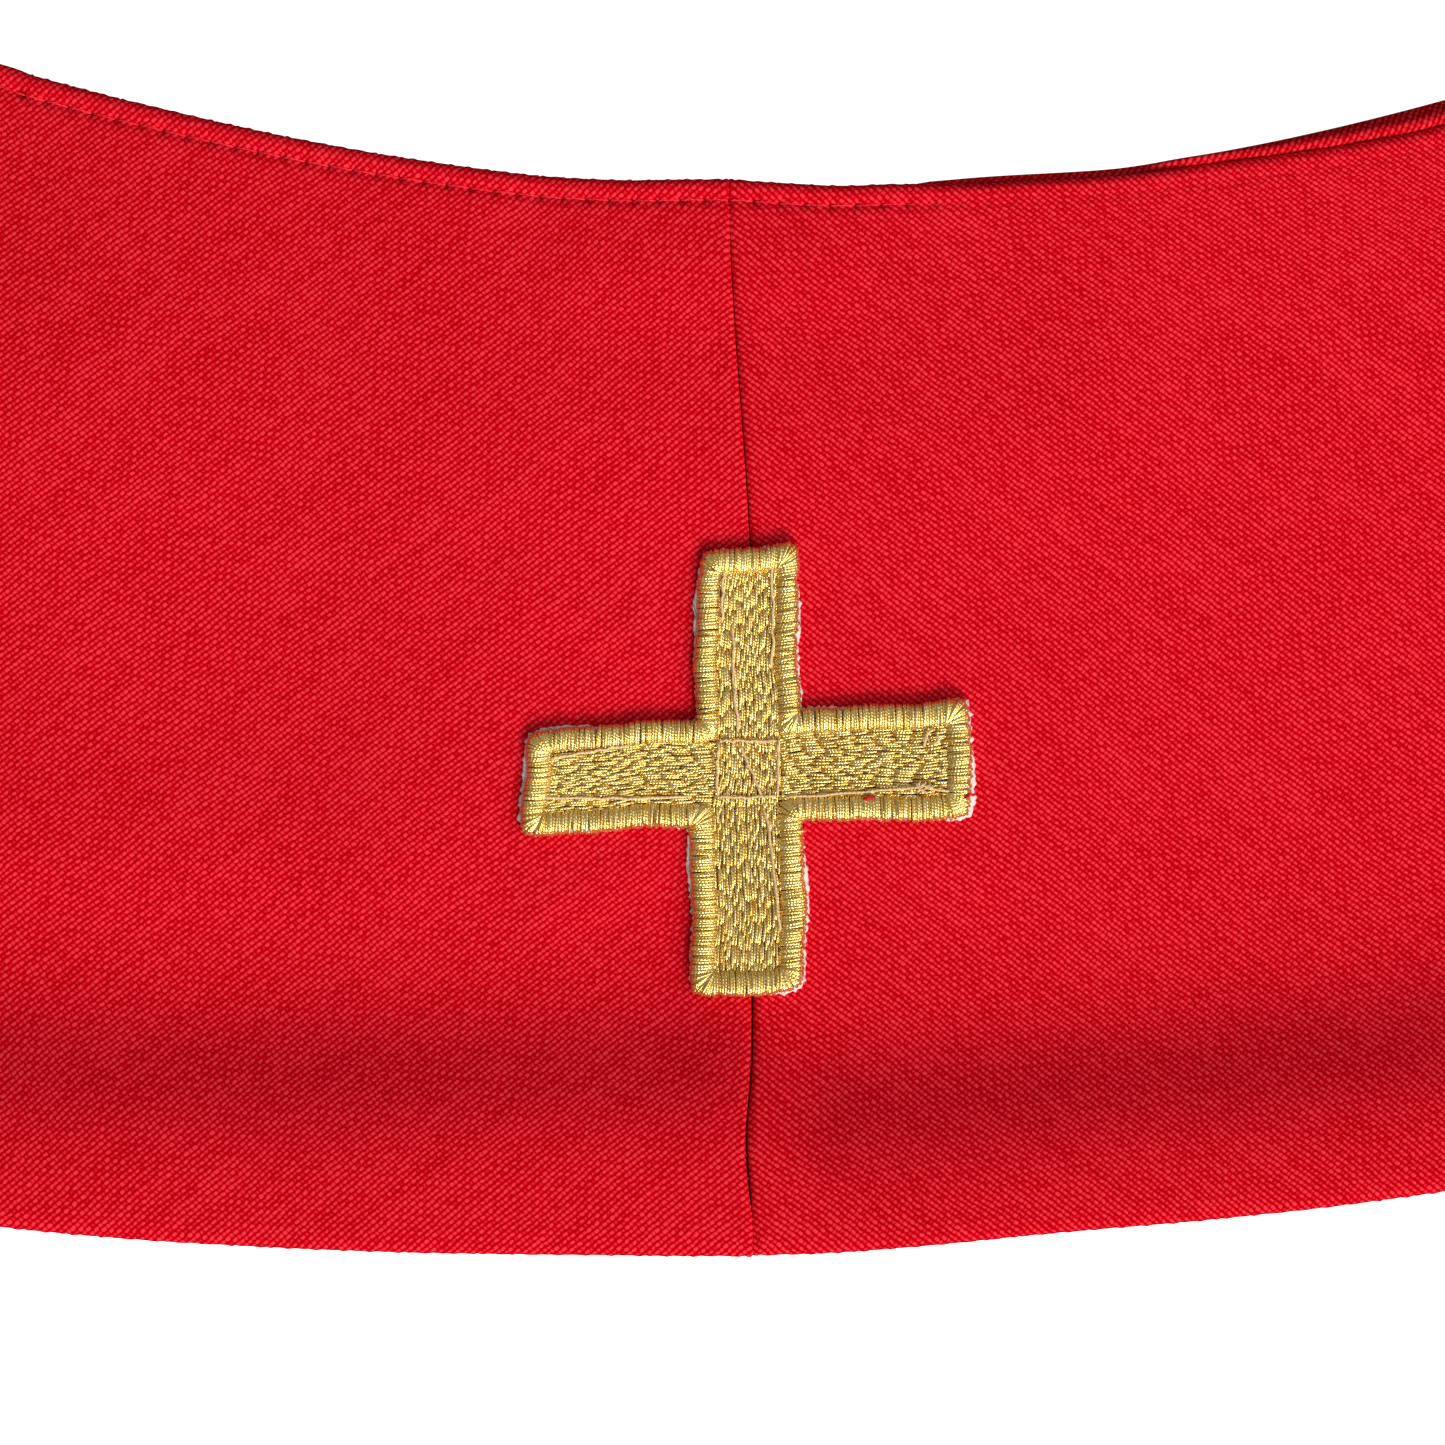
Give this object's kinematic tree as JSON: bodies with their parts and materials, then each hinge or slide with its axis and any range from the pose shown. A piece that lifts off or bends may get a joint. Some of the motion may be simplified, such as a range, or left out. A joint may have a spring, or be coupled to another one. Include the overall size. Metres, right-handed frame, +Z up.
{
  "type": "priest's stole",
  "caption": "Lined priest's stole laid flat in a U: curved neck with centre-back seam, topstitched neck edge, and embroidered crosses at the nape and above each hem.",
  "frame": {"origin": "centre of the footprint, on the surface that the stole lies on", "axes": "+Y from the nape towards the hems, +Z up out of the face cloth, +X towards the right arm"},
  "size_m": [0.5, 1.2368, 0.0081],
  "materials": {
    "red_face_cloth": "matt plain weave in polyester, small diagonal pebble grain",
    "red_lining_cloth": "matt plain-weave lining, a shade darker than the face",
    "interlining_canvas": "stiff matt canvas",
    "red_thread": "polyester sewing thread",
    "gold_thread": "metallic embroidery thread with a bright sheen",
    "backing_felt": "fuzzy matt felt",
    "tan_thread": "matt cotton thread"
  },
  "bodies": {
    "root": {"face_panel_left": "red_face_cloth", "interlining_left": "interlining_canvas", "lining_left": "red_lining_cloth", "lining_slipstitch_left": "red_thread", "face_panel_right": "red_face_cloth", "interlining_right": "interlining_canvas", "lining_right": "red_lining_cloth", "lining_slipstitch_right": "red_thread", "centre_seam_thread": "red_thread", "lining_seam_thread": "red_thread", "neck_topstitch_thread": "red_thread", "neck_cross_backing": "backing_felt", "neck_cross_border": "gold_thread", "neck_cross_fill_top": "gold_thread", "neck_cross_fill_bottom": "gold_thread", "neck_cross_fill_left": "gold_thread", "neck_cross_fill_right": "gold_thread", "neck_cross_centre": "gold_thread", "neck_cross_tacking": "tan_thread", "left_end_cross_backing": "backing_felt", "left_end_cross_border": "gold_thread", "left_end_cross_fill_top": "gold_thread", "left_end_cross_fill_bottom": "gold_thread", "left_end_cross_fill_left": "gold_thread", "left_end_cross_fill_right": "gold_thread", "left_end_cross_centre": "gold_thread", "left_end_cross_tacking": "tan_thread", "right_end_cross_backing": "backing_felt", "right_end_cross_border": "gold_thread", "right_end_cross_fill_top": "gold_thread", "right_end_cross_fill_bottom": "gold_thread", "right_end_cross_fill_left": "gold_thread", "right_end_cross_fill_right": "gold_thread", "right_end_cross_centre": "gold_thread", "right_end_cross_tacking": "tan_thread"}
  },
  "joints": []
}
